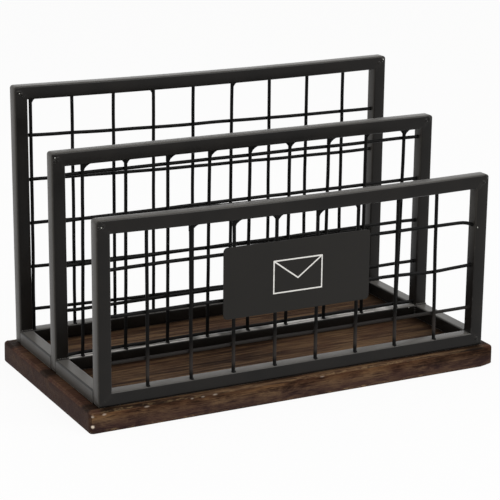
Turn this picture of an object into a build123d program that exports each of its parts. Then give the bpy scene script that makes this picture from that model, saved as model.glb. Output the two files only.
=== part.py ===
from build123d import *
import os

# Letter holder: three welded frames of square steel tube, filled with wire mesh, stand one behind
# another on a wooden board and leave two upright slots for post. Short rails of the same tube join
# the frames along both sides of the board, and a blank name plate is fixed to the front mesh.
# X runs along the board, Y from the front to the back and Z up. The origin is the middle of the
# board's underside. All sizes are in millimetres.

# Frames
frame_width = 292.0
front_frame_height = 123.5
middle_frame_height = 151.0
back_frame_height = 183.0
front_slot = 63.7
rear_slot = 57.0

# Square tube
tube_side = 9.5
tube_wall = 1.2
tube_corner_radius = 1.2

# Board
board_thickness = 15.0
board_front_margin = 4.0
board_rear_margin = 6.3
board_side_margin = 7.6
board_corner_radius = 3.0
board_edge_radius = 2.2
board_underside_chamfer = 0.8

# Wire mesh
wire_diameter = 2.0
wire_corner_clearance = 0.1
upright_spacing = 30.8
crosswire_spacing = 31.0
back_first_upright = 2.4
middle_first_upright = 12.6
front_first_upright = 26.5
back_top_cell = 27.8
middle_top_cell = 6.0
front_top_cell = 24.3

# Name plate
plate_width = 109.5
plate_height = 48.7
plate_thickness = 1.0
plate_corner_radius = 3.0
plate_left_inset = 79.0
plate_top_inset = 18.7

# Screws that hold the frames down from under the board
screw_shank_diameter = 3.4
screw_head_diameter = 7.0
screw_head_height = 2.4
screw_slot_width = 1.0
screw_slot_length = 4.0
screw_slot_depth = 1.2
screw_clearance = 0.2
screw_head_clearance = 1.0
screw_head_recess = 1.0
screw_reach = 2.5
screw_tip_length = 1.5
screw_inset = 46.0

# How far a cutting shape runs past the face that it cuts
cut_overrun = 1.0

# Places that follow from the sizes above
board_length = frame_width + 2 * board_side_margin
frames_depth = 3 * tube_side + front_slot + rear_slot
board_depth = board_front_margin + frames_depth + board_rear_margin
board_top = board_thickness
front_frame_y = -board_depth / 2 + board_front_margin
middle_frame_y = front_frame_y + tube_side + front_slot
back_frame_y = middle_frame_y + tube_side + rear_slot
left_face_x = -frame_width / 2
right_face_x = frame_width / 2
inner_width = frame_width - 2 * tube_side
wire_setback = tube_corner_radius + wire_corner_clearance
screwed_frames = (front_frame_y, back_frame_y)

# Shapes that stand on the place they are put at
standing = (Align.CENTER, Align.CENTER, Align.MIN)

os.makedirs("parts", exist_ok=True)


def tube_section():
    """The square tube's section, with its lower left corner at the sketch's origin."""
    middle = Pos(tube_side / 2, tube_side / 2)
    outside = middle * RectangleRounded(tube_side, tube_side, tube_corner_radius)
    bore_side = tube_side - 2 * tube_wall
    return outside - middle * Rectangle(bore_side, bore_side)


def straight_tube(length):
    """A tube along Y from the origin, cut square at both ends."""
    return extrude(Plane.XZ * tube_section(), -length)


def mitred_tube(length):
    """A tube along X, centred on Z, with its outer face down and both ends cut at 45 degrees."""
    section_plane = Plane(origin=(-length / 2, 0, 0), x_dir=(0, 1, 0), z_dir=(1, 0, 0))
    tube = extrude(section_plane * tube_section(), length)
    outer = length / 2
    inner = outer - tube_side
    outline = Polyline((-outer, 0), (outer, 0), (inner, tube_side), (-inner, tube_side), close=True)
    keep = extrude(Plane.XZ * make_face(outline), -tube_side)
    return tube & keep


def screw_places(frame_y):
    """The axes of the two screws under one frame, on the tube's centre line."""
    reach_x = frame_width / 2 - screw_inset
    return [(side * reach_x, frame_y + tube_side / 2) for side in (-1, 1)]


def frame_tubes(frame_y, height):
    """The four mitred tubes of one frame, standing on the board with the front face at frame_y."""
    bottom = Pos(0, frame_y, board_top) * mitred_tube(frame_width)
    hole = Cylinder((screw_shank_diameter + screw_clearance) / 2, tube_wall + 2 * cut_overrun)
    if frame_y in screwed_frames:
        for x, y in screw_places(frame_y):
            bottom -= Pos(x, y, board_top + tube_wall / 2) * hole
    top = Pos(0, frame_y, board_top + height) * Rot(0, 180, 0) * mitred_tube(frame_width)
    left = Pos(left_face_x, frame_y, board_top + height / 2) * Rot(0, 90, 0) * mitred_tube(height)
    right = Pos(right_face_x, frame_y, board_top + height / 2) * Rot(0, -90, 0) * mitred_tube(height)
    return {"bottom_tube": bottom, "top_tube": top, "left_tube": left, "right_tube": right}


def mesh_uprights(frame_y, height, first_upright):
    """The mesh's upright wires, from the bottom tube to the top tube."""
    y = frame_y + wire_setback + wire_diameter / 2
    x = left_face_x + tube_side + first_upright
    wire = Cylinder(wire_diameter / 2, height - 2 * tube_side, align=standing)
    wires = []
    while x < right_face_x - tube_side - wire_diameter:
        wires.append(Pos(x, y, board_top + tube_side) * wire)
        x += upright_spacing
    return Compound(children=wires)


def mesh_crosswires(frame_y, height, top_cell):
    """The mesh's level wires behind the uprights, from the left tube to the right tube."""
    uprights_back_y = frame_y + wire_setback + wire_diameter
    y = uprights_back_y + wire_diameter / 2
    z = board_top + height - tube_side - top_cell
    wire = Rot(0, 90, 0) * Cylinder(wire_diameter / 2, inner_width)
    wires = []
    while z > board_top + tube_side + wire_diameter / 2:
        wires.append(Pos(0, y, z) * wire)
        z -= crosswire_spacing
    return Compound(children=wires)


def side_rail(face_x, frame_y, slot):
    """A side rail that fills the gap behind the frame at frame_y, flush with the frames' sides."""
    return Pos(face_x, frame_y + tube_side, board_top) * straight_tube(slot)


def wooden_board():
    """The board, rounded above and chamfered below, with a stepped hole for each screw."""
    board = Pos(0, 0, board_thickness / 2) * Box(board_length, board_depth, board_thickness)
    board = fillet(board.edges().filter_by(Axis.Z), board_corner_radius)
    board = fillet(board.edges().group_by(Axis.Z)[-1], board_edge_radius)
    board = chamfer(board.edges().group_by(Axis.Z)[0], board_underside_chamfer)
    shank_radius = (screw_shank_diameter + screw_clearance) / 2
    shank_hole = Cylinder(shank_radius, board_thickness + 2 * cut_overrun, align=standing)
    head_radius = (screw_head_diameter + screw_head_clearance) / 2
    head_hole_depth = screw_head_recess + screw_head_height
    head_hole = Cylinder(head_radius, head_hole_depth + cut_overrun, align=standing)
    for frame_y in screwed_frames:
        for x, y in screw_places(frame_y):
            board -= Pos(x, y, -cut_overrun) * shank_hole
            board -= Pos(x, y, -cut_overrun) * head_hole
    return board


def screw():
    """One pointed screw, head down, with the flat side of its head against the board's seat."""
    seat_z = screw_head_recess + screw_head_height
    tip_z = board_top + tube_wall + screw_reach
    head = Cylinder(screw_head_diameter / 2, screw_head_height, align=standing)
    slot = Box(screw_slot_length, screw_slot_width, 2 * screw_slot_depth)
    head -= slot + Rot(0, 0, 90) * slot
    shank_length = tip_z - screw_tip_length - seat_z
    shank = Cylinder(screw_shank_diameter / 2, shank_length, align=standing)
    tip = Cone(screw_shank_diameter / 2, 0, screw_tip_length, align=standing)
    body = Pos(0, 0, screw_head_recess) * head
    body += Pos(0, 0, seat_z) * shank
    body += Pos(0, 0, seat_z + shank_length) * tip
    return body


def name_plate():
    """The blank sheet plate in front of the front frame's uprights."""
    centre_x = left_face_x + tube_side + plate_left_inset + plate_width / 2
    centre_z = board_top + front_frame_height - tube_side - plate_top_inset - plate_height / 2
    back_y = front_frame_y + wire_setback
    outline = RectangleRounded(plate_width, plate_height, plate_corner_radius)
    return extrude(Plane.XZ.offset(-back_y) * Pos(centre_x, centre_z) * outline, plate_thickness)


frames = {
    "front": (front_frame_y, front_frame_height, front_first_upright, front_top_cell),
    "middle": (middle_frame_y, middle_frame_height, middle_first_upright, middle_top_cell),
    "back": (back_frame_y, back_frame_height, back_first_upright, back_top_cell),
}

export_step(wooden_board(), "parts/base_board.step")

for name, (frame_y, height, first_upright, top_cell) in frames.items():
    for tube_name, tube in frame_tubes(frame_y, height).items():
        export_step(tube, f"parts/{name}_{tube_name}.step")
    export_step(mesh_uprights(frame_y, height, first_upright), f"parts/{name}_mesh_uprights.step")
    export_step(mesh_crosswires(frame_y, height, top_cell), f"parts/{name}_mesh_crosswires.step")

for side, face_x in (("left", left_face_x), ("right", right_face_x - tube_side)):
    export_step(side_rail(face_x, front_frame_y, front_slot), f"parts/{side}_front_rail.step")
    export_step(side_rail(face_x, middle_frame_y, rear_slot), f"parts/{side}_rear_rail.step")

export_step(name_plate(), "parts/name_plate.step")

screws = []
for frame_y in screwed_frames:
    for x, y in screw_places(frame_y):
        screws.append(Pos(x, y, 0) * screw())
export_step(Compound(children=screws), "parts/board_screws.step")
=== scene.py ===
import math
import random

import bmesh
import bpy
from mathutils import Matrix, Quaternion, Vector


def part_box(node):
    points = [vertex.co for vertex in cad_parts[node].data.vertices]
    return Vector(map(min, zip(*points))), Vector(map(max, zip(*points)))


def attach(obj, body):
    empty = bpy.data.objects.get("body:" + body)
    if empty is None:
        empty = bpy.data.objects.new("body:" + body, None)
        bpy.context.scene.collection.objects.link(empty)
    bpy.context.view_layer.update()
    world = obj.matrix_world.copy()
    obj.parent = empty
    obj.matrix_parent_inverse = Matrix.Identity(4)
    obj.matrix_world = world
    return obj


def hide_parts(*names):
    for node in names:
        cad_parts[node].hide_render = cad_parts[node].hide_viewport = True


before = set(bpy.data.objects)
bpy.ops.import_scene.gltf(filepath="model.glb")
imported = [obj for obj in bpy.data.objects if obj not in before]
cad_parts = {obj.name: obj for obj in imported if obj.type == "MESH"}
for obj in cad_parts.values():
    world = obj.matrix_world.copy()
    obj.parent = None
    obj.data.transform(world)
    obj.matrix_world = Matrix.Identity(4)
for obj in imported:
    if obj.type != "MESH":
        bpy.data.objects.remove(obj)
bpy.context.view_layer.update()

# Base board: one plank stained dark walnut, its edges rounded over by hand and rubbed pale.
# The steel frames stand on it, and four screws come up through stepped holes in its underside.

board_low, board_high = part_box("base_board")
board_size = board_high - board_low
board_middle = (board_low + board_high) / 2
board_cells = (38, 20)
board_layers = (0.005, 0.010)
board_corner_radius = 0.0032
board_edge_radius = 0.0022
board_foot_chamfer = 0.0008
board_extra_cuts = 2
knocked_length = 0.0100
knocked_height = 0.0020
knocked_depth = 0.0120
board_wave_depth = 0.0005
board_wave_size = 0.030
board_chip_depth = 0.0006
board_chip_size = 0.0120
board_chip_reach = 0.0035
screw_holes = [(x, y) for x in (-0.100, 0.100) for y in (-0.0710, 0.0687)]
screw_hole_radius = 0.0018
screw_hole_top = 0.020
head_hole_radius = 0.0040
head_hole_top = 0.0034
drill_overrun = 0.005
smallest = 0.00001
millimetre = 0.001


def colour(code):
    """A colour from its six-digit code, as the shader wants it."""
    parts = [int(code[n : n + 2], 16) / 255 for n in (0, 2, 4)]
    return (*[p / 12.92 if p < 0.04045 else ((p + 0.055) / 1.055) ** 2.4 for p in parts], 1.0)


def pick(kind, test):
    """Select, in the mesh being edited, the verts, edges or faces that pass the test."""
    bpy.ops.mesh.select_mode(type={"verts": "VERT", "edges": "EDGE", "faces": "FACE"}[kind])
    bpy.ops.mesh.select_all(action="DESELECT")
    mesh = bmesh.from_edit_mesh(bpy.context.object.data)
    for element in getattr(mesh, kind):
        if test(element):
            element.select_set(True)
    bmesh.update_edit_mesh(bpy.context.object.data)


def cut(place, normal, **rest):
    """Cut the whole mesh being edited along a plane."""
    bpy.ops.mesh.select_all(action="SELECT")
    bpy.ops.mesh.bisect(plane_co=place, plane_no=normal, **rest)


def fix_place():
    """Put the active piece's place, turn and size into its mesh."""
    bpy.ops.object.transform_apply(location=True, rotation=True, scale=True)


def take(piece):
    """Select this piece alone."""
    bpy.ops.object.select_all(action="DESELECT")
    bpy.context.view_layer.objects.active = piece
    piece.select_set(True)


def edit(piece):
    """Start editing one piece, with nothing else selected."""
    take(piece)
    bpy.ops.object.mode_set(mode="EDIT")


def settle(piece, smooth_angle=35):
    """Put the piece's place into its mesh and smooth its soft edges."""
    if bpy.context.object and bpy.context.object.mode == "EDIT":
        bpy.ops.object.mode_set(mode="OBJECT")
    take(piece)
    fix_place()
    bpy.ops.object.shade_smooth_by_angle(angle=math.radians(smooth_angle))


def roughen(piece, name, depth, size, group=None, level=1.0):
    """Push the piece's skin in and out by a cloudy pattern."""
    clouds = bpy.data.textures.new(name, "CLOUDS")
    clouds.noise_scale = size
    clouds.noise_depth = 2
    push = piece.modifiers.new(name, "DISPLACE")
    push.texture = clouds
    push.texture_coords = "LOCAL"
    push.strength = depth
    push.mid_level = level
    if group:
        push.vertex_group = group
    bpy.ops.object.modifier_apply(modifier=name)


def put(tree, kind, inputs=None, **settings):
    """Add a shader node; an input given as another node's socket is linked."""
    node = tree.nodes.new(kind)
    for key, value in settings.items():
        setattr(node, key, value)
    for label, value in (inputs or {}).items():
        if isinstance(value, bpy.types.NodeSocket):
            tree.links.new(value, node.inputs[label])
        else:
            node.inputs[label].default_value = value
    return node


def math_of(tree, operation, *values, clamp=False):
    """The result socket of one math node."""
    inputs = dict(enumerate(values))
    return put(tree, "ShaderNodeMath", inputs, operation=operation, use_clamp=clamp).outputs[0]


def product(tree, value, *others):
    """The result socket of values multiplied one after another."""
    for other in others:
        value = math_of(tree, "MULTIPLY", value, other)
    return value


def graded(tree, value, slope, start):
    """A mask that follows a value along a straight line, kept between 0 and 1."""
    return math_of(tree, "MULTIPLY_ADD", value, slope, start, clamp=True)


def layered(tree, base, *layers):
    """Patterns laid over each other on a base value, each with its own weight."""
    total = base
    for pattern, weight in layers:
        total = math_of(tree, "MULTIPLY_ADD", pattern, weight, total)
    return total


def along_grain(tree, place, scales):
    """The place on the piece, squeezed so that a cloudy pattern runs out into grain."""
    return put(tree, "ShaderNodeMapping", {"Vector": place, "Scale": scales}).outputs[0]


def clouds_of(tree, place, scale, detail, roughness=0.5, distortion=0.0):
    """The grey value of a cloudy pattern over the piece."""
    inputs = {
        "Vector": place,
        "Scale": scale,
        "Detail": detail,
        "Roughness": roughness,
        "Distortion": distortion,
    }
    return put(tree, "ShaderNodeTexNoise", inputs).outputs["Fac"]


def split_of(tree, vector):
    """The X, Y and Z sockets of a vector."""
    return put(tree, "ShaderNodeSeparateXYZ", {"Vector": vector}).outputs


def ramp(tree, value, stops):
    """The colour socket of a ramp with the given (place, colour) stops."""
    node = put(tree, "ShaderNodeValToRGB", {"Fac": value})
    while len(node.color_ramp.elements) < len(stops):
        node.color_ramp.elements.new(0.5)
    for element, (place, tint) in zip(node.color_ramp.elements, stops):
        element.position = place
        element.color = tint
    return node.outputs["Color"]


def blend(tree, mask, first, second, share=1.0, mode="MIX"):
    """The colour socket of a mix of two colours, the second one laid on by a mask up to its share."""
    if share != 1.0:
        mask = product(tree, mask, share)
    inputs = {0: mask, 6: first, 7: second}
    return put(tree, "ShaderNodeMix", inputs, data_type="RGBA", blend_type=mode).outputs[2]


def raise_skin(tree, shader, height, strength, distance):
    """Let a height pattern show in the surface's shading."""
    bump = put(tree, "ShaderNodeBump", {"Height": height, "Strength": strength, "Distance": distance})
    tree.links.new(bump.outputs["Normal"], shader.inputs["Normal"])


def dress(tree, shader, tint, pattern, spread, least):
    """Give the shader its colour, and a roughness that follows a pattern up from its least value."""
    tree.links.new(tint, shader.inputs["Base Color"])
    tree.links.new(math_of(tree, "MULTIPLY_ADD", pattern, spread, least), shader.inputs["Roughness"])


def finish_of(name):
    """A new material with its shader and the place on the piece that its patterns follow."""
    material = bpy.data.materials.new(name)
    material.use_nodes = True
    tree = material.node_tree
    place = put(tree, "ShaderNodeTexCoord").outputs["Object"]
    return material, tree, tree.nodes["Principled BSDF"], place


def paint(piece, material):
    """Give the piece this one material."""
    piece.data.materials.clear()
    piece.data.materials.append(material)


bpy.ops.mesh.primitive_grid_add(
    x_subdivisions=board_cells[0],
    y_subdivisions=board_cells[1],
    size=1,
    location=(board_middle.x, board_middle.y, board_high.z),
)
board = bpy.context.object
board.name = "worn_base_board"
board.scale = (board_size.x, board_size.y, 1)
fix_place()
edit(board)
bpy.ops.mesh.select_all(action="SELECT")
bpy.ops.mesh.extrude_region_move(TRANSFORM_OT_translate={"value": (0, 0, -board_size.z)})
bpy.ops.mesh.select_all(action="SELECT")
bpy.ops.mesh.normals_make_consistent(inside=False)
for layer in board_layers:
    cut((0, 0, layer), (0, 0, 1))
pick("edges", lambda e: abs(e.verts[0].co.z - e.verts[1].co.z) > smallest and all(
    board_high.x - abs(v.co.x) < smallest and board_high.y - abs(v.co.y) < smallest for v in e.verts))
bpy.ops.mesh.bevel(offset=board_corner_radius, segments=4, affect="EDGES", clamp_overlap=False)
for level, radius, steps in ((board_high.z, board_edge_radius, 4), (0.0, board_foot_chamfer, 2)):
    pick("edges", lambda e: all(abs(v.co.z - level) < smallest for v in e.verts)
         and e.calc_face_angle(0) > math.radians(60))
    bpy.ops.mesh.bevel(offset=radius, segments=steps, affect="EDGES", clamp_overlap=False)
corner_points = [
    Vector((board_high.x - knocked_length, board_low.y, 0)),
    Vector((board_high.x, board_low.y, knocked_height)),
    Vector((board_high.x, board_low.y + knocked_depth, 0)),
]
knock_normal = (corner_points[1] - corner_points[0]).cross(corner_points[2] - corner_points[0])
if knock_normal.x < 0:
    knock_normal.negate()
cut(corner_points[0], knock_normal.normalized(), clear_outer=True, use_fill=True)
bpy.ops.mesh.select_all(action="SELECT")
bpy.ops.mesh.subdivide(number_cuts=board_extra_cuts)
bpy.ops.object.mode_set(mode="OBJECT")

skin = board.vertex_groups.new(name="skin")
rim = board.vertex_groups.new(name="rim")
for vertex in board.data.vertices:
    side = min(board_high.x - abs(vertex.co.x), board_high.y - abs(vertex.co.y))
    if side < board_edge_radius and vertex.co.z > smallest:
        skin.add([vertex.index], 1.0, "REPLACE")
    top = board_high.z - vertex.co.z
    reach = math.hypot(max(side, 0), top)
    if reach < board_chip_reach and top < board_chip_reach and side < board_edge_radius:
        rim.add([vertex.index], 1.0 - reach / board_chip_reach, "REPLACE")
roughen(board, "board_waves", board_wave_depth, board_wave_size, "skin")
roughen(board, "board_chips", board_chip_depth, board_chip_size, "rim", level=0.75)

for hole_x, hole_y in screw_holes:
    for radius, top in ((screw_hole_radius, screw_hole_top), (head_hole_radius, head_hole_top)):
        depth = top + drill_overrun
        bpy.ops.mesh.primitive_cylinder_add(
            vertices=40, radius=radius, depth=depth, location=(hole_x, hole_y, top - depth / 2)
        )
        drill = bpy.context.object
        bpy.context.view_layer.objects.active = board
        bore = board.modifiers.new("bore", "BOOLEAN")
        bore.operation = "DIFFERENCE"
        bore.object = drill
        bpy.ops.object.modifier_apply(modifier="bore")
        bpy.data.objects.remove(drill)
settle(board, 40)

wood, tree, shader, place = finish_of("dark_stained_wood")
stain_deep = colour("150d08")
stain_dark = colour("2c1d14")
stain_middle = colour("4f3b2c")
stain_light = colour("755c42")
stain_red = colour("43291f")
rubbed_pale = colour("b79a70")
stain_steps = ((0.48, stain_deep), (0.56, stain_dark), (0.63, stain_middle), (0.73, stain_light))
top_skin = 0.0018
foot_skin = 0.0004
pore_level = 0.38
broad = clouds_of(tree, along_grain(tree, place, (11, 60, 60)), 1.0, 6, 0.62, 0.5)
streaks = clouds_of(tree, along_grain(tree, place, (14, 420, 420)), 1.0, 4, 0.6)
fibres = clouds_of(tree, along_grain(tree, place, (90, 1500, 1500)), 1.0, 3, 0.6)
blotch = clouds_of(tree, along_grain(tree, place, (34, 70, 95)), 1.0, 6, 0.70, 0.4)
patchy = clouds_of(tree, place, 31, 3)
split = split_of(tree, place)
on_top = math_of(tree, "GREATER_THAN", split["Z"], board_high.z - top_skin)
below = math_of(tree, "LESS_THAN", split["Z"], foot_skin)
on_side = math_of(tree, "SUBTRACT", math_of(tree, "SUBTRACT", 1.0, on_top), below)
top_tone = layered(tree, 0.062, (broad, 0.34), (streaks, 0.50), (fibres, 0.30))
side_tone = layered(tree, 0.13, (blotch, 0.62), (streaks, 0.17), (fibres, 0.22))
tone = put(tree, "ShaderNodeMix", {0: on_side, 2: top_tone, 3: side_tone}).outputs[0]
grain = ramp(tree, tone, stain_steps)
grain = blend(tree, graded(tree, patchy, 3.2, -1.55), grain, stain_red, share=0.6)
pores = math_of(tree, "LESS_THAN", fibres, pore_level)
grain = blend(tree, pores, grain, stain_deep, share=0.5)
# How far a spot lies from the nearest edge: the middle one of its distances from the three faces.
reach_x = math_of(tree, "SUBTRACT", board_high.x, math_of(tree, "ABSOLUTE", split["X"]))
reach_y = math_of(tree, "SUBTRACT", board_high.y, math_of(tree, "ABSOLUTE", split["Y"]))
reach_z = math_of(tree, "MINIMUM", split["Z"], math_of(tree, "SUBTRACT", board_high.z, split["Z"]))
total = math_of(tree, "ADD", math_of(tree, "ADD", reach_x, reach_y), reach_z)
nearest = math_of(tree, "MINIMUM", math_of(tree, "MINIMUM", reach_x, reach_y), reach_z)
furthest = math_of(tree, "MAXIMUM", math_of(tree, "MAXIMUM", reach_x, reach_y), reach_z)
to_edge = math_of(tree, "SUBTRACT", math_of(tree, "SUBTRACT", total, nearest), furthest)
# The stain is cooler at the foot of the sides, warmer along their upper edge and darker at the ends.
foot_stain = colour("37282a")
warm_stain = colour("c0905c")
end_stain = colour("2b1b17")
end_depth = 0.0016
end_strip_stain = colour("4b3027")
end_strip_width = 0.0076
near_foot = product(tree, graded(tree, split["Z"], -170.0, 1.7), on_side)
grain = blend(tree, near_foot, grain, foot_stain, share=0.5)
near_top = product(tree, graded(tree, split["Z"], 200.0, -1.6), on_side)
grain = blend(tree, near_top, grain, warm_stain, share=0.5, mode="MULTIPLY")
end_grain = math_of(tree, "LESS_THAN", reach_x, end_depth)
grain = blend(tree, end_grain, grain, end_stain, share=0.8)
end_strip = math_of(tree, "LESS_THAN", reach_x, end_strip_width)
end_top = product(tree, end_strip, on_top)
grain = blend(tree, end_top, grain, end_strip_stain, share=0.5)
# Painted shade along the feet of the frames (across) and of the side rails (along): the wood is darkened
# there as their contact shadows fall. It reaches less far on the side of the board's rim.
tube_half = 0.00475
frame_middles = (-0.0710, 0.0022, 0.0687)
front_falls = (-1.6, -1.0, -1.0)
rail_middle = 0.14125
outer_fall = -5.0
shade_beside_frame = 0.0050
shade_beside_rail = 0.0400


def painted_shade_beside(tree, off_middle, fall, width):
    """The painted shade beside a tube, fading over a width, and by its own fall on the tube's other
    side.
    """
    aside = math_of(tree, "MAXIMUM", off_middle, product(tree, off_middle, fall))
    return graded(tree, aside, -1 / width, 1 + tube_half / width)


inward = math_of(tree, "SUBTRACT", rail_middle, math_of(tree, "ABSOLUTE", split["X"]))
painted_shade = painted_shade_beside(tree, inward, outer_fall, shade_beside_rail)
painted_shade = product(tree, painted_shade, painted_shade)
for frame_middle, front_fall in zip(frame_middles, front_falls):
    behind = math_of(tree, "SUBTRACT", split["Y"], frame_middle)
    beside = painted_shade_beside(tree, behind, front_fall, shade_beside_frame)
    painted_shade = math_of(tree, "MAXIMUM", painted_shade, beside)
painted_shade = product(tree, painted_shade, on_top)
# Painted shade: the deepest stain's colour laid on beside the tubes' feet.
grain = blend(tree, painted_shade, grain, stain_deep, share=0.85)
# The edges and the upright corners are rubbed pale in short scuffs, and the end strips less so.
worn_width = 0.0024
corner_worn_width = 0.0060
end_rub_loss = -0.6
near_edge = math_of(tree, "SUBTRACT", 1.0, math_of(tree, "DIVIDE", to_edge, worn_width), clamp=True)
scuff = clouds_of(tree, along_grain(tree, place, (130, 420, 700)), 1.0, 5, 0.75)
scuffed = graded(tree, scuff, 6.0, -3.0)
at_corner = graded(tree, math_of(tree, "ADD", reach_x, reach_y), -1 / corner_worn_width, 1.0)
at_corner = graded(tree, at_corner, 1.5, 0.0)
thin_here = math_of(tree, "MAXIMUM", graded(tree, patchy, 3.6, -1.3), at_corner)
less_at_end = math_of(tree, "MULTIPLY_ADD", end_strip, end_rub_loss, 1.0)
rub = product(tree, near_edge, scuffed, thin_here, less_at_end)
grain = blend(tree, rub, grain, rubbed_pale)
# Spots knocked through to bare wood on the front's upper edge and left corner: the place along the
# front and the height in mm, the size in mm, how far it is squeezed lengthwise, and how bare it is.
bare_wood = colour("f2e2cf")
bare_chips = (
    (-151.8, 5.0, 0.95, 0.9, 1.5),
    (-151.8, 11.9, 0.8, 0.8, 0.5),
    (-143.7, 12.3, 0.6, 0.5, 0.6),
    (-114.1, 12.8, 0.45, 0.28, 0.5),
    (-81.9, 13.0, 0.45, 0.5, 0.35),
    (-74.1, 13.0, 0.45, 0.4, 0.35),
    (-65.3, 13.1, 0.5, 0.35, 0.5),
    (15.0, 12.9, 0.4, 0.28, 0.35),
)
chip_setback = 0.3 * millimetre
chip_fade = 1.5
wood_gloss = 0.04
for chip_x, chip_z, chip_size, squeeze, bareness in bare_chips:
    spot = (chip_x * millimetre * squeeze, board_low.y + chip_setback, chip_z * millimetre)
    squeezed = put(tree, "ShaderNodeVectorMath", {0: place, 1: (squeeze, 1, 1)}, operation="MULTIPLY")
    off_chip = put(tree, "ShaderNodeVectorMath", {0: squeezed.outputs[0], 1: spot}, operation="DISTANCE")
    chipped = graded(tree, off_chip.outputs["Value"], -1 / (chip_size * millimetre), chip_fade)
    broken = math_of(tree, "MULTIPLY_ADD", scuffed, bareness / 2, bareness / 2)
    grain = blend(tree, product(tree, chipped, broken), grain, bare_wood)
dress(tree, shader, grain, fibres, 0.25, 0.45)
shader.inputs["Specular IOR Level"].default_value = wood_gloss
relief = layered(tree, 0.0, (fibres, 0.5), (blotch, 0.9), (streaks, 0.5))
raise_skin(tree, shader, relief, 0.6, 0.0008)
paint(board, wood)
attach(board, "root")
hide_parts("base_board")

# Board screws: four zinc-plated screws with flat-seated cross heads, driven up through the board
# into the bottom tubes of the front and back frames. Only their heads show, sunk in the underside.

zinc, tree, shader, place = finish_of("bright_zinc")
zinc_light = colour("cfcfc9")
zinc_dull = colour("a3a29a")
spangle = put(tree, "ShaderNodeTexVoronoi", {"Vector": place, "Scale": 1400}).outputs["Distance"]
streak = clouds_of(tree, place, 900, 4)
dress(tree, shader, blend(tree, spangle, zinc_light, zinc_dull), streak, 0.25, 0.22)
shader.inputs["Metallic"].default_value = 1.0
raise_skin(tree, shader, streak, 0.2, 0.0002)
paint(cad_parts["board_screws"], zinc)

# Steel frames: square tube mitred at the corners, welded into three rings and ground smooth, so
# that each outer corner is rounded and a faint ridge of weld is left on the mitre. Powder-coated black.

tube_edge_radius = 0.0012
tube_wall = 0.0011
frame_corner_radius = 0.0022
weld_ridge = 0.00005
weld_reach = (0.0009, 0.0021)
tube_side = 0.0095
tube_bows = {"front": 0.0014, "middle": 0.0002, "back": 0.0013}
bow_cuts = 14
full_bow = 2 * millimetre
edge_mark_margin = 0.0001
top_mark_depth = 0.0002


def ring_of_tube(low, high):
    """A frame as one closed, hollow ring of square tube, before it is parted at the mitres."""
    bpy.ops.mesh.primitive_cube_add(size=1, location=(low + high) / 2, scale=high - low)
    ring = bpy.context.object
    fix_place()
    edit(ring)
    pick("faces", lambda f: abs(f.normal.y) > 0.9)
    bpy.ops.mesh.inset(thickness=tube_side, depth=0, use_even_offset=True)
    bpy.ops.mesh.delete(type="FACE")
    pick("edges", lambda e: e.is_boundary)
    bpy.ops.mesh.bridge_edge_loops()
    bpy.ops.mesh.select_all(action="SELECT")
    bpy.ops.mesh.normals_make_consistent(inside=False)
    pick("edges", lambda e: abs(e.verts[0].co.y - e.verts[1].co.y) > smallest
         and min(abs(e.verts[0].co.x - low.x), abs(e.verts[0].co.x - high.x)) < smallest
         and min(abs(e.verts[0].co.z - low.z), abs(e.verts[0].co.z - high.z)) < smallest)
    bpy.ops.mesh.bevel(offset=frame_corner_radius, segments=5, affect="EDGES", clamp_overlap=False)
    pick("edges", lambda e: abs(e.verts[0].co.y - e.verts[1].co.y) < smallest
         and e.calc_face_angle(0) > math.radians(70))
    bpy.ops.mesh.bevel(offset=tube_edge_radius, segments=4, affect="EDGES", clamp_overlap=False)
    bpy.ops.object.mode_set(mode="OBJECT")
    wall = ring.modifiers.new("wall", "SOLIDIFY")
    wall.thickness = tube_wall
    wall.offset = -1
    wall.use_even_offset = True
    bpy.ops.object.modifier_apply(modifier="wall")
    return ring


def bowed(frame_name, x):
    """How far the frame's top tube has been pulled down by its welds at this place along it."""
    return tube_bows[frame_name] * max(0.0, 1 - (x / (ring_high.x - tube_side)) ** 2)


def off_plane(vertex, corner, normal):
    """How far a vertex lies from the plane of a mitre."""
    return abs((vertex.co - corner).dot(normal))


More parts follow.
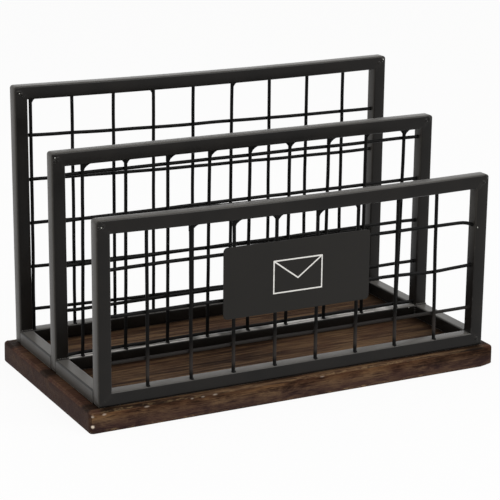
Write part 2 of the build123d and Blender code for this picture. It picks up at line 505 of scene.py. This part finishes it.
def mitred_tube(ring, name, middle, away, ends):
    """One side of a ring, parted at its two mitres, with a ridge of weld raised on each."""
    tube = ring.copy()
    tube.data = ring.data.copy()
    tube.name = name
    bpy.context.scene.collection.objects.link(tube)
    edit(tube)
    cut(middle, away, clear_outer=True)
    for corner, normal in ends:
        cut(corner, normal, clear_outer=True)
    for corner, normal in ends:
        pick("edges", lambda e: e.is_boundary
             and all(off_plane(v, corner, normal) < smallest for v in e.verts))
        bpy.ops.mesh.bridge_edge_loops()
        for reach in weld_reach:
            cut(corner - normal * reach, normal)
        for face_y, push in ((ring_low.y, -weld_ridge), (ring_high.y, weld_ridge)):
            pick("verts", lambda v: abs(v.co.y - face_y) < smallest
                 and off_plane(v, corner, normal) < smallest)
            bpy.ops.transform.translate(value=(0, push, 0))
    bpy.ops.mesh.select_all(action="SELECT")
    bpy.ops.mesh.normals_make_consistent(inside=False)
    if "_top_" in name:
        for n in range(1, bow_cuts):
            cut((ring_low.x + (ring_high.x - ring_low.x) * n / bow_cuts, 0, 0), (1, 0, 0))
        bpy.ops.object.mode_set(mode="OBJECT")
        bent = tube.vertex_groups.new(name="bent")
        for vertex in tube.data.vertices:
            bend = bowed(name.split("_")[0], vertex.co.x)
            bent.add([vertex.index], bend / full_bow, "REPLACE")
        bow = tube.modifiers.new("bow", "DISPLACE")
        bow.direction = "Z"
        bow.mid_level = 0
        bow.strength = -full_bow
        bow.vertex_group = "bent"
        bpy.ops.object.modifier_apply(modifier="bow")
    settle(tube)
    for label in ("seam", "edge", "worn"):
        tube.data.attributes.new(label, "FLOAT", "POINT")
    seam, edge, worn = (tube.data.attributes[label].data for label in ("seam", "edge", "worn"))
    for vertex in tube.data.vertices:
        away_from_mitre = min(off_plane(vertex, corner, normal) for corner, normal in ends)
        seam[vertex.index].value = 1.0 if away_from_mitre < weld_reach[0] + smallest else 0.0
        off_face = min(vertex.co.y - ring_low.y, ring_high.y - vertex.co.y)
        rounded = edge_mark_margin < off_face < tube_edge_radius - edge_mark_margin
        edge[vertex.index].value = 1.0 if rounded else 0.0
        # The top of the middle frame's bottom tube is marked for its wear and its painted highlight.
        worn_top = vertex.co.z > ring_low.z + tube_side - top_mark_depth
        worn[vertex.index].value = 1.0 if worn_top and name.startswith("middle_bottom") else 0.0
    return tube


def texture_of_powder_coat():
    """Powder coat's skin: the fine orange peel, and a slow drift in tone and gloss."""
    group = bpy.data.node_groups.new("powder_coat_skin", "ShaderNodeTree")
    sockets = (("Place", "INPUT", "NodeSocketVector"), ("Peel Scale", "INPUT", "NodeSocketFloat"),
               ("Drift Scale", "INPUT", "NodeSocketFloat"), ("Height", "OUTPUT", "NodeSocketFloat"),
               ("Drift", "OUTPUT", "NodeSocketFloat"), ("Dust", "OUTPUT", "NodeSocketFloat"))
    for label, side, kind in sockets:
        group.interface.new_socket(name=label, in_out=side, socket_type=kind)
    given = group.nodes.new("NodeGroupInput").outputs
    peel = clouds_of(group, given["Place"], given["Peel Scale"], 3)
    drift = clouds_of(group, given["Place"], given["Drift Scale"], 5)
    specks = put(group, "ShaderNodeTexVoronoi", {"Vector": given["Place"], "Scale": given["Peel Scale"]})
    dust = math_of(group, "LESS_THAN", specks.outputs["Distance"], speck_radius)
    out = group.nodes.new("NodeGroupOutput").inputs
    group.links.new(layered(group, peel, (drift, 1.5)), out["Height"])
    group.links.new(drift, out["Drift"])
    group.links.new(dust, out["Dust"])
    return group


def skin_in(tree, place, peel_scale, drift_scale):
    """Powder coat's skin set into a material, at its own two scales."""
    inputs = {"Place": place, "Peel Scale": peel_scale, "Drift Scale": drift_scale}
    return put(tree, "ShaderNodeGroup", inputs, node_tree=powder_coat).outputs


speck_radius = 0.06
powder_coat = texture_of_powder_coat()
tube_coat, tree, shader, place = finish_of("black_powder_coat")
coat_black = colour("0c0a08")
coat_grey = colour("171411")
coat_rubbed = colour("3b3937")
coat_dust = colour("4a4744")
coat_worn_highlight = colour("ddd9d3")
coat_painted_reflection = colour("322f2b")
coat_painted_reflection_light = colour("43403b")
coat_painted_highlight = colour("7c7975")
painted_highlight_share = 0.26
speck_share = 0.35
low_tube_top = 0.026
dark_edge_share = 0.85
bare_share = 0.6
coat_gloss = 0.20
coat_bloom = 0.34
coat_bloom_spread = 0.26
skin_of = skin_in(tree, place, 900.0, 45.0)
tint = blend(tree, graded(tree, skin_of["Drift"], 2.2, -0.6), coat_black, coat_grey)
# Painted reflection greys the outer sides and the tops, and a painted highlight lies brighter on top of
# the low tubes. The faces that look into the holder take the painted reflection only high up, and stay
# dark near its foot.
looks = split_of(tree, put(tree, "ShaderNodeTexCoord").outputs["Normal"])
where = split_of(tree, place)
outward = product(tree, looks["X"], math_of(tree, "SIGN", where["X"]))
outer_side = graded(tree, outward, 2.0, -0.6)
inner_side = graded(tree, outward, -2.0, -0.6)
high_up = graded(tree, where["Z"], 20.0, -1.4)
looks_up = graded(tree, looks["Z"], 2.0, -0.8)
on_low_tube = math_of(tree, "LESS_THAN", where["Z"], low_tube_top)
low_top = product(tree, looks_up, on_low_tube)
# Painted reflection on the outer sides, high on the inner sides and on the tops; painted highlight on
# the low tubes' tops.
tint = blend(tree, outer_side, tint, coat_painted_reflection)
tint = blend(tree, product(tree, inner_side, high_up), tint, coat_painted_reflection)
tint = blend(tree, looks_up, tint, coat_painted_reflection_light)
tint = blend(tree, low_top, tint, coat_painted_highlight, share=painted_highlight_share)
# The rails' outer upper edge is painted black as its dark reflection, over the painted reflection of
# side and top.
slope = product(tree, math_of(tree, "MAXIMUM", outward, 0.0), looks["Z"])
painted_dark_edge = product(tree, graded(tree, slope, 7.0, -0.8), on_low_tube)
tint = blend(tree, painted_dark_edge, tint, coat_black, share=dark_edge_share)
# The rounded edges are scratched and the mitres ground. The top of the middle frame's bottom tube is
# worn to bare steel in runs, and its near-white colour there is a painted highlight.
marks = [put(tree, "ShaderNodeAttribute", attribute_name=label) for label in ("edge", "seam", "worn")]
edge_mark, seam_mark, worn_highlight_mark = (mark.outputs["Fac"] for mark in marks)
scratch = clouds_of(tree, place, 260, 5, 0.7)
scratched = graded(tree, scratch, 5.0, -2.7)
tint = blend(tree, product(tree, edge_mark, scratched), tint, coat_rubbed)
ground = product(tree, seam_mark, math_of(tree, "MULTIPLY_ADD", scratched, 0.45, 0.05))
tint = blend(tree, ground, tint, coat_rubbed)
tint = blend(tree, skin_of["Dust"], tint, coat_dust, share=speck_share)
# Painted highlight: a near-white strip in runs on the middle frame's bottom tube, with bare steel under
# it.
rubbed_runs = graded(tree, clouds_of(tree, along_grain(tree, place, (38, 8, 8)), 1.0, 2), 9.0, -3.6)
worn_highlight_mark = product(tree, worn_highlight_mark, rubbed_runs)
tint = blend(tree, worn_highlight_mark, tint, coat_worn_highlight)
tree.links.new(product(tree, worn_highlight_mark, bare_share), shader.inputs["Metallic"])
dress(tree, shader, tint, skin_of["Drift"], 0.20, 0.24)
shader.inputs["Specular IOR Level"].default_value = coat_gloss
shader.inputs["Sheen Weight"].default_value = coat_bloom
shader.inputs["Sheen Roughness"].default_value = coat_bloom_spread
seam_lumps = product(tree, seam_mark, scratch)
relief = layered(tree, skin_of["Height"], (seam_lumps, 4.0))
raise_skin(tree, shader, relief, 0.25, 0.00018)
# Each side of a ring: the way to the ring's middle, and the corner and the direction of each mitre.
sides = {
    "bottom": ((0, 0, 1), (("low", "low"), (-1, 1)), (("high", "low"), (1, 1))),
    "top": ((0, 0, -1), (("low", "high"), (-1, -1)), (("high", "high"), (1, -1))),
    "left": ((1, 0, 0), (("low", "low"), (1, -1)), (("low", "high"), (1, 1))),
    "right": ((-1, 0, 0), (("high", "low"), (-1, -1)), (("high", "high"), (-1, 1))),
}
for name in ("front", "middle", "back"):
    ring_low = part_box(f"{name}_left_tube")[0]
    ring_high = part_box(f"{name}_right_tube")[1]
    ring = ring_of_tube(ring_low, ring_high)
    middle = (ring_low + ring_high) / 2
    for side, (away, *mitres) in sides.items():
        ends = []
        for (at_x, at_z), (normal_x, normal_z) in mitres:
            corner_x = ring_low.x if at_x == "low" else ring_high.x
            corner_z = ring_low.z if at_z == "low" else ring_high.z
            corner = Vector((corner_x, middle.y, corner_z))
            ends.append((corner, Vector((normal_x, 0, normal_z)).normalized()))
        tube = mitred_tube(ring, f"{name}_{side}_square_tube", middle, away, ends)
        paint(tube, tube_coat)
        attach(tube, "root")
        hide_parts(f"{name}_{side}_tube")
    bpy.data.objects.remove(ring)

# Corner welds: the last lumps of weld that the grinder left on the mitres, under the coat, and a few
# bright specks of spatter that it missed.

lump_size = 0.0013
lump_flatness = 0.28
speck_size = 0.00042
speck_flatness = 0.8
speck_stretch = 1.1
speck_lift = 0.2 * millimetre
lump_turn = 0.7
speck_turn = 0.9
# Each lump's place along the frame and its height in mm, and how far it is drawn out.
corner_lumps = {
    "front": (
        (-143.6, 137.0, 1.2), (-141.5, 134.4, 1.5), (-144.6, 133.6, 0.8),
        (143.2, 136.6, 1.5), (141.6, 133.2, 1.1), (141.0, 20.4, 1.0),
    ),
    "middle": (
        (-144.2, 164.4, 1.5), (-142.2, 162.0, 1.3), (-144.4, 160.6, 1.0), (142.6, 163.6, 1.7),
        (140.4, 162.6, 1.1), (-142.5, 19.6, 0.8), (142.4, 18.8, 0.9),
    ),
    "back": (
        (-143.0, 194.0, 1.6), (-141.0, 192.4, 0.9), (142.6, 195.2, 1.3), (140.2, 193.2, 0.9),
        (-142.8, 18.8, 0.8), (142.2, 19.2, 0.8),
    ),
}
# Each speck's place along the frame and its height in mm.
spatter = {
    "front": ((-142.6, 134.0), (138.0, 101.6)),
    "middle": ((-143.8, 163.0), (131.0, 23.2)),
    "back": ((-142.4, 193.2), (143.6, 195.6)),
}


def scatter(name, bead, spots):
    """Copies of a bead at the spots (place, up, turn, stretch), joined into one piece."""
    copies = []
    for where, up, turn, stretch in spots:
        copy = bead.copy()
        copy.data = bead.data.copy()
        copy.rotation_mode = "QUATERNION"
        copy.rotation_quaternion = Vector(up).to_track_quat("Z", "Y") @ Quaternion((0, 0, 1), turn)
        copy.scale = (stretch, 1.0, 1.0)
        copy.location = where
        bpy.context.scene.collection.objects.link(copy)
        copies.append(copy)
    bpy.ops.object.select_all(action="DESELECT")
    for copy in copies:
        copy.select_set(True)
    bpy.context.view_layer.objects.active = copies[0]
    bpy.ops.object.join()
    piece = bpy.context.object
    piece.name = name
    settle(piece, 60)
    return piece


def lump(name, size, flatness):
    """One low lump of metal, lying on a face that looks along its own Z."""
    bpy.ops.mesh.primitive_ico_sphere_add(subdivisions=2, radius=size, location=(0, 0, 0))
    piece = bpy.context.object
    piece.name = name
    edit(piece)
    bpy.ops.mesh.select_all(action="SELECT")
    bpy.ops.transform.resize(value=(1.0, 1.0, flatness), center_override=(0, 0, 0))
    bpy.ops.object.mode_set(mode="OBJECT")
    roughen(piece, f"{name}_lumps", 0.30 * size, 0.8 * size, level=0.5)
    return piece


weld_lump = lump("weld_lump", lump_size, lump_flatness)
weld_speck = lump("weld_speck", speck_size, speck_flatness)
for name in ("front", "middle", "back"):
    face_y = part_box(f"{name}_left_tube")[0].y
    spots = [((x * millimetre, face_y, z * millimetre), (0, -1, 0), lump_turn * n, stretch)
             for n, (x, z, stretch) in enumerate(corner_lumps[name])]
    corner_welds = scatter(f"{name}_corner_welds", weld_lump, spots)
    paint(corner_welds, tube_coat)
    face_y -= speck_lift
    spots = [((x * millimetre, face_y, z * millimetre), (0, -1, 0), speck_turn * n, speck_stretch)
             for n, (x, z) in enumerate(spatter[name])]
    specks = scatter(f"{name}_weld_spatter", weld_speck, spots)
    paint(specks, zinc)
    for piece in (corner_welds, specks):
        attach(piece, "root")

# Side rails: short lengths of the same square tube, cut square at both ends and welded between the
# frames at the foot, along both ends of the board. The solids are kept as they are and coated black.

for name in ("left_front_rail", "right_front_rail", "left_rear_rail", "right_rear_rail"):
    paint(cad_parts[name], tube_coat)

# Wire mesh: straightened wire laid crosswise, spot-welded where it crosses and welded to the frames
# at its ends. The uprights stand in front. Each wire leans and waves a little, as in hand-set mesh.

wire_radius = 0.00125
wire_black = colour("050505")
wire_grey = colour("0d0c0b")
wire_gloss = 0.08
wire_dust_and_light = colour("3a3532")
dust_and_light_depth = -0.06
dust_and_light_share = 0.7
upright_pitch = 30.8 * millimetre
# How far, in mm, each sheet's uprights stand off their straight places: at the left foot, the right
# foot, the left head and the right head. The uprights between them follow, each a little its own way.
upright_slants = {
    "front": (-0.6, -0.2, -0.8, -0.4),
    "middle": (-1.0, 0.0, 0.4, 0.5),
    "back": (-0.9, -1.5, 0.1, -1.4),
}
# Uprights that were knocked further, as (foot, head) in mm.
knocked_uprights = {("front", 7): (1.2, -0.5), ("middle", 0): (-1.8, 0.1), ("middle", 8): (-1.5, 1.0)}
# How far, in mm, each sheet's crosswires stand off level at the left and the right end, and how
# sharply they settle from the one to the other.
crosswire_slants = {"front": (0.2, 0.3, 1.0), "middle": (-0.6, -0.1, 1.0), "back": (2.3, -2.2, 2.2)}
upright_play = 0.35 * millimetre
crosswire_play = 0.25 * millimetre
# The front sheet's top crosswire hooks down at its right end, and its second one was knocked down.
end_hook = 5.0 * millimetre
end_droop = 2.2 * millimetre
knocked_sag = 1.8 * millimetre
landing_ahead = 0.7 * millimetre
head_overlap = 0.2 * millimetre
weld_overlap = 0.1 * millimetre
# A stretch of wire that is longer than this waves in its middle.
long_stretch = 0.010
wave = 0.22 * millimetre
full_turn = 6.28
fillet_rings = 5
fillet_lump_depth = 0.00035
fillet_lump_size = 0.0016
chance = random.Random(7)


def upright_shifts(name, place, count, levels):
    """How far one upright of a sheet stands off its straight place, at each level from foot to head."""
    foot_left, foot_right, head_left, head_right = (slant * millimetre for slant in upright_slants[name])
    across = place / (count - 1)
    foot = foot_left + (foot_right - foot_left) * across + chance.uniform(-upright_play, upright_play)
    head = head_left + (head_right - head_left) * across + chance.uniform(-upright_play, upright_play)
    if (name, place) in knocked_uprights:
        foot, head = (shift * millimetre for shift in knocked_uprights[name, place])
    belly = chance.uniform(-upright_play, upright_play)
    shares = [(level - levels[0]) / (levels[-1] - levels[0]) for level in levels]
    return [foot + (head - foot) * share + belly * math.sin(math.pi * share) for share in shares]


def crosswire_shifts(name, columns):
    """How far one crosswire of a sheet stands off level, at each column from left to right."""
    left, right, settling = crosswire_slants[name]
    shares = [(x - columns[0]) / (columns[-1] - columns[0]) for x in columns]
    return [(right + (left - right) * (1 - share) ** settling) * millimetre
            + chance.uniform(-crosswire_play, crosswire_play) for share in shares]


def wires_of(name, runs):
    """Wires of one lie as one piece, each bent gently through its own points."""
    lines = bpy.data.curves.new(name, "CURVE")
    lines.dimensions = "3D"
    lines.bevel_depth = wire_radius
    lines.bevel_resolution = 2
    lines.resolution_u = 5
    lines.use_fill_caps = True
    for run in runs:
        line = lines.splines.new("NURBS")
        line.points.add(len(run) - 1)
        for point, where in zip(line.points, run):
            point.co = (*where, 1.0)
        line.order_u = 3
        line.use_endpoint_u = True
    piece = bpy.data.objects.new(name, lines)
    bpy.context.scene.collection.objects.link(piece)
    take(piece)
    bpy.ops.object.convert(target="MESH")
    piece = bpy.context.object
    settle(piece, 60)
    return piece


def weld_bead(name, size):
    """One lump of weld metal with a flat back."""
    bpy.ops.mesh.primitive_ico_sphere_add(subdivisions=2, radius=size, location=(0, 0, 0))
    bead = bpy.context.object
    bead.name = name
    edit(bead)
    pick("verts", lambda v: v.co.z > 0.35 * size)
    bpy.ops.transform.resize(value=(1.35, 1.15, 0.0), center_override=(0, 0, 0.0))
    bpy.ops.object.mode_set(mode="OBJECT")
    roughen(bead, f"{name}_lumps", 0.35 * size, 0.8 * size, level=0.5)
    return bead


def weld_fillet(name, drop, run_out, depth):
    """Weld metal drawn out to one side, like a trumpet, where an upright meets the tube above it."""
    bpy.ops.mesh.primitive_cylinder_add(
        vertices=14, radius=wire_radius, depth=drop, location=(0, 0, -drop / 2)
    )
    fillet = bpy.context.object
    fillet.name = name
    fix_place()
    edit(fillet)
    for n in range(1, fillet_rings):
        cut((0, 0, -drop * n / fillet_rings), (0, 0, 1))
    for n in range(fillet_rings):
        level = -drop * n / fillet_rings
        share = (1 - n / fillet_rings) ** 2
        pick("verts", lambda v: abs(v.co.z - level) < smallest)
        across = 1 + share * run_out / (2 * wire_radius)
        along = 1 + share * depth / wire_radius
        bpy.ops.transform.resize(value=(across, along, 1), center_override=(0, 0, level))
        bpy.ops.transform.translate(value=(share * run_out / 2, 0, 0))
    bpy.ops.object.mode_set(mode="OBJECT")
    roughen(fillet, f"{name}_lumps", fillet_lump_depth, fillet_lump_size, level=0.5)
    return fillet


wire_coat, tree, shader, place = finish_of("black_wire_coat")
skin_of = skin_in(tree, place, 1400.0, 90.0)
tint = blend(tree, graded(tree, skin_of["Drift"], 2.0, -0.5), wire_black, wire_grey)
# Dust and painted light pale the front sheet's wires a little above their feet, where they stand before
# the wood.
where = split_of(tree, place)
low_down = graded(tree, where["Z"], -70.0, 3.5)
off_the_foot = graded(tree, where["Z"], 300.0, -8.4)
in_front = math_of(tree, "LESS_THAN", where["Y"], dust_and_light_depth)
dusted_and_lit = product(tree, low_down, off_the_foot, in_front)
tint = blend(tree, dusted_and_lit, tint, wire_dust_and_light, share=dust_and_light_share)
dress(tree, shader, tint, skin_of["Drift"], 0.25, 0.30)
shader.inputs["Specular IOR Level"].default_value = wire_gloss
raise_skin(tree, shader, skin_of["Height"], 0.3, 0.00015)

spot_weld = weld_bead("spot_weld", 0.0010)
end_bead = weld_bead("end_bead", 0.0014)
flared_bead = weld_fillet("flared_bead", 0.0040, 0.0044, 0.0006)
# Each sheet: its first upright's place along the frame and its crosswires' heights above the board
# in mm, how many uprights it has, and one letter for the weld at each upright's head. L and R are
# flared to the left and to the right, B to both sides, small letters less far, and a dash is a bead.
sheets = {
    "front": (-110.0, 8, (89.7, 58.7, 27.7), "-RRBRlr-"),
    "middle": (-123.9, 9, (135.5, 104.5, 73.5, 42.5, 11.5), "RbRRRBRrB"),
    "back": (-134.1, 9, (145.7, 114.7, 83.7, 52.7, 21.7), "r--l-r---"),
}
fillets = {"R": ((math.pi, 1.15),), "r": ((math.pi, 0.6),), "L": ((0, 1.1),), "l": ((0, 0.55),),
           "B": ((math.pi, 0.9), (0, 0.7)), "b": ((math.pi, 0.6), (0, 0.6)), "-": ()}
for name, (first_x, count, heights, welds) in sheets.items():
    foot, head = (corner.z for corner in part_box(f"{name}_mesh_uprights"))
    wire_y = sum(corner.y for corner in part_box(f"{name}_mesh_uprights")) / 2
    cross_y = sum(corner.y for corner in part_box(f"{name}_mesh_crosswires")) / 2
    left, right = (corner.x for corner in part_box(f"{name}_mesh_crosswires"))
    cross_levels = [board_high.z + height * millimetre for height in heights]
    levels = [foot] + cross_levels[::-1] + [head]
    straight = [first_x * millimetre + upright_pitch * n for n in range(count)]
    uprights, shifts_of_upright = [], []
    for place, x in enumerate(straight):
        levels[-1] = head - bowed(name, x) + head_overlap
        shifts = upright_shifts(name, place, count, levels)
        run = [(x + shifts[0], wire_y, levels[0])]
        for n in range(1, len(levels)):
            if levels[n] - levels[n - 1] > long_stretch:
                halfway = (shifts[n - 1] + shifts[n]) / 2 + chance.uniform(-wave, wave)
                run.append((x + halfway, wire_y, (levels[n - 1] + levels[n]) / 2))
            run.append((x + shifts[n], wire_y, levels[n]))
        uprights.append(run)
        shifts_of_upright.append(shifts)
    columns = [left] + straight + [right]
    crosswires, shifts_of_crosswire = [], []
    for level in cross_levels:
        shifts = crosswire_shifts(name, columns)
        if name == "front" and level == cross_levels[1]:
            shifts[-2] -= knocked_sag
        run = [(columns[0], cross_y, level + shifts[0])]
        for n in range(1, len(columns)):
            if columns[n] - columns[n - 1] > long_stretch:
                halfway = (shifts[n - 1] + shifts[n]) / 2 + chance.uniform(-wave, wave)
                run.append(((columns[n - 1] + columns[n]) / 2, cross_y, level + halfway))
            run.append((columns[n], cross_y, level + shifts[n]))
        if name == "front" and level == cross_levels[0]:
            run.insert(-1, (right - end_hook, cross_y, level + shifts[-1]))
            run[-1] = (right, cross_y, level + shifts[-1] - end_droop)
        crosswires.append(run)
        shifts_of_crosswire.append(shifts)
    for kind, runs in (("uprights", uprights), ("crosswires", crosswires)):
        piece = wires_of(f"{name}_{kind}", runs)
        paint(piece, wire_coat)
        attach(piece, "root")
        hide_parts(f"{name}_mesh_{kind}")
    spots = []
    for n, x in enumerate(straight):
        for k, level in enumerate(cross_levels):
            aside = shifts_of_upright[n][len(cross_levels) - k]
            where = (x + aside, (wire_y + cross_y) / 2, level + shifts_of_crosswire[k][n + 1])
            spots.append((where, (0, 1, 0), chance.uniform(0, full_turn), chance.uniform(0.8, 1.2)))
    crossings = scatter(f"{name}_spot_welds", spot_weld, spots)
    ends, flares = [], []
    for run, weld in zip(uprights, welds):
        landing = (run[0][0], wire_y - landing_ahead, foot)
        ends.append((landing, (0, 0, -1), chance.uniform(0, full_turn), chance.uniform(0.9, 1.2)))
        under = (run[-1][0], wire_y, head - bowed(name, run[-1][0]) + weld_overlap)
        for turn, stretch in fillets[weld]:
            flares.append((under, (0, 0, 1), turn, stretch))
        if weld == "-":
            ends.append((under, (0, 0, 1), chance.uniform(0, full_turn), 0.8))
    for run in crosswires:
        ends.append((run[0], (-1, 0, 0), chance.uniform(0, full_turn), 1.0))
        ends.append((run[-1], (1, 0, 0), chance.uniform(0, full_turn), 1.1))
    end_welds = scatter(f"{name}_end_welds", end_bead, ends)
    flared_welds = scatter(f"{name}_flared_welds", flared_bead, flares)
    for piece in (crossings, end_welds, flared_welds):
        paint(piece, wire_coat)
        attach(piece, "root")

# Rail welds: short runs of bead where each rail's end meets the frames, laid up its inner side and
# across its top, and coated with the rest.

rail_bead_count = 5
rail_bead_start = 0.0014
rail_bead_pitch = 0.0017
rail_bead_stretch = 1.1
rail_bead = weld_bead("rail_bead", 0.0011)
spots = []
for name in ("left_front_rail", "right_front_rail", "left_rear_rail", "right_rear_rail"):
    rail_low, rail_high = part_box(name)
    inner_x = rail_high.x if rail_high.x < 0 else rail_low.x
    inward = 1 if rail_high.x < 0 else -1
    for end_y, toward in ((rail_low.y, 1), (rail_high.y, -1)):
        for n in range(rail_bead_count):
            where = (inner_x, end_y, rail_low.z + rail_bead_start + n * rail_bead_pitch)
            facing = (-inward, -0.5 * toward, 0)
            spots.append((where, facing, chance.uniform(0, full_turn), rail_bead_stretch))
        for n in range(rail_bead_count):
            where = (rail_low.x + rail_bead_start + n * rail_bead_pitch, end_y, rail_high.z)
            facing = (0, -toward, -1)
            spots.append((where, facing, chance.uniform(0, full_turn), rail_bead_stretch))
rail_welds = scatter("rail_welds", rail_bead, spots)
paint(rail_welds, tube_coat)
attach(rail_welds, "root")
for master in (spot_weld, end_bead, flared_bead, rail_bead, weld_lump, weld_speck):
    bpy.data.objects.remove(master)

# Name plate: a thin sheet of steel with rounded corners, coated matt charcoal, tacked to the front
# uprights. It carries a plain line drawing of an envelope in white paint.

plate_low, plate_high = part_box("name_plate")
plate_corner_radius = 0.003
plate_edge_radius = 0.0002
plate_colour = colour("1e1d1b")
plate_colour_light = colour("262422")
plate_gloss = 0.15
white_paint = colour("e9e7e2")
faded_paint = colour("b9b6b0")

bpy.ops.mesh.primitive_cube_add(
    size=1, location=(plate_low + plate_high) / 2, scale=plate_high - plate_low
)
plate = bpy.context.object
plate.name = "charcoal_name_plate"
fix_place()
edit(plate)
pick("edges", lambda e: abs(e.verts[0].co.y - e.verts[1].co.y) > smallest)
bpy.ops.mesh.bevel(offset=plate_corner_radius, segments=8, affect="EDGES", clamp_overlap=False)
pick("edges", lambda e: e.calc_face_angle(0) > math.radians(60))
bpy.ops.mesh.bevel(offset=plate_edge_radius, segments=3, affect="EDGES", clamp_overlap=False)
settle(plate)
plate_coat, tree, shader, place = finish_of("matt_charcoal_coat")
skin_of = skin_in(tree, place, 1100.0, 30.0)
tint = blend(tree, skin_of["Drift"], plate_colour, plate_colour_light)
dress(tree, shader, tint, skin_of["Drift"], 0.20, 0.48)
shader.inputs["Specular IOR Level"].default_value = plate_gloss
raise_skin(tree, shader, skin_of["Height"], 0.3, 0.00012)
paint(plate, plate_coat)
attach(plate, "root")
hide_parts("name_plate")

envelope_size = (0.036, 0.022)
envelope_line = 0.0009
flap_dip = 0.0022
paint_thickness = 0.00006
plate_middle = (plate_low + plate_high) / 2
bpy.ops.mesh.primitive_plane_add(size=1, location=(0, 0, 0))
envelope = bpy.context.object
envelope.name = "white_envelope_mark"
envelope.scale = (envelope_size[0], envelope_size[1], 1)
fix_place()
edit(envelope)
bpy.ops.mesh.select_all(action="SELECT")
bpy.ops.mesh.poke()
pick("verts", lambda v: v.co.length < smallest)
bpy.ops.transform.translate(value=(0, -flap_dip, 0))
pick("faces", lambda f: f.calc_center_median().y < 0.15 * envelope_size[1])
bpy.ops.mesh.dissolve_faces()
bpy.ops.object.mode_set(mode="OBJECT")
lines = envelope.modifiers.new("lines", "WIREFRAME")
lines.thickness = envelope_line
lines.use_boundary = True
lines.use_replace = True
bpy.ops.object.modifier_apply(modifier="lines")
envelope.scale = (1, 1, paint_thickness / envelope_line)
envelope.rotation_euler = (math.radians(90), 0, 0)
envelope.location = (plate_middle.x, plate_low.y, plate_middle.z)
settle(envelope)
mark_paint, tree, shader, place = finish_of("white_mark_paint")
worn = clouds_of(tree, place, 700, 4)
tint = blend(tree, graded(tree, worn, 3.0, -1.6), white_paint, faded_paint)
dress(tree, shader, tint, worn, 0.2, 0.45)
paint(envelope, mark_paint)
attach(envelope, "root")

# Floor and light: a large flat sheet of pale matt paper that is nearly as white as the sky behind it,
# under soft even light from all sides, with a large lamp in front on the right and a small one on the
# left.

floor_white = colour("f4f3f1")
floor_roughness = 0.9
floor_glow = 0.93
sky_level = 0.52


def seen_itself(tree):
    """A mask of the rays that see a thing itself, straight, in a shiny face or through glass."""
    rays = put(tree, "ShaderNodeLightPath").outputs
    seen = math_of(tree, "MAXIMUM", rays["Is Camera Ray"], rays["Is Glossy Ray"])
    return math_of(tree, "MAXIMUM", seen, rays["Is Transmission Ray"])


bpy.ops.mesh.primitive_plane_add(size=12, location=(0, 2, 0))
floor = bpy.context.object
floor.name = "pale_floor"
floor_paper, tree, shader, place = finish_of("pale_paper")
shader.inputs["Base Color"].default_value = floor_white
shader.inputs["Roughness"].default_value = floor_roughness
shader.inputs["Specular IOR Level"].default_value = 0.0
glow = put(tree, "ShaderNodeEmission", {"Color": (1, 1, 1, 1), "Strength": 1.0})
shared = put(tree, "ShaderNodeMixShader", {0: product(tree, seen_itself(tree), floor_glow)})
tree.links.new(shader.outputs[0], shared.inputs[1])
tree.links.new(glow.outputs[0], shared.inputs[2])
tree.links.new(shared.outputs[0], tree.nodes["Material Output"].inputs["Surface"])
paint(floor, floor_paper)

world = bpy.data.worlds.new("studio")
bpy.context.scene.world = world
world.use_nodes = True
tree = world.node_tree
sky = blend(tree, seen_itself(tree), (sky_level, sky_level, sky_level, 1), (1, 1, 1, 1))
tree.links.new(sky, tree.nodes["Background"].inputs["Color"])

lamps = {
    "key_lamp": ((0.9, -1.3, 1.6), 1.2, 22.0),
    "left_lamp": ((-1.1, -0.1, 0.4), 0.6, 3.2),
}
aim = Vector((0, 0, 0.08))
for name, (spot, size, power) in lamps.items():
    light = bpy.data.lights.new(name, "AREA")
    light.size = size
    light.energy = power
    lamp = bpy.data.objects.new(name, light)
    lamp.location = spot
    lamp.rotation_euler = (aim - Vector(spot)).to_track_quat("-Z", "Y").to_euler()
    bpy.context.scene.collection.objects.link(lamp)

# Camera: a long lens at the photograph's viewing angle, from the front and the left and a little
# above, turned about its own line of sight by as much as the photograph leans.

camera_place = (-0.57330, -1.10240, 0.43810)
camera_forward = (0.4440, 0.8528, -0.2750)
camera_roll = 0.5769
camera_lens = 133.95
lens = bpy.data.cameras.new("camera")
lens.lens = camera_lens
lens.sensor_width = 36
camera = bpy.data.objects.new("camera", lens)
camera.location = camera_place
facing = Vector(camera_forward).to_track_quat("-Z", "Y")
camera.rotation_euler = (facing @ Quaternion((0, 0, 1), math.radians(camera_roll))).to_euler()
bpy.context.scene.collection.objects.link(camera)
bpy.context.scene.camera = camera
bpy.context.scene.view_settings.view_transform = "Standard"
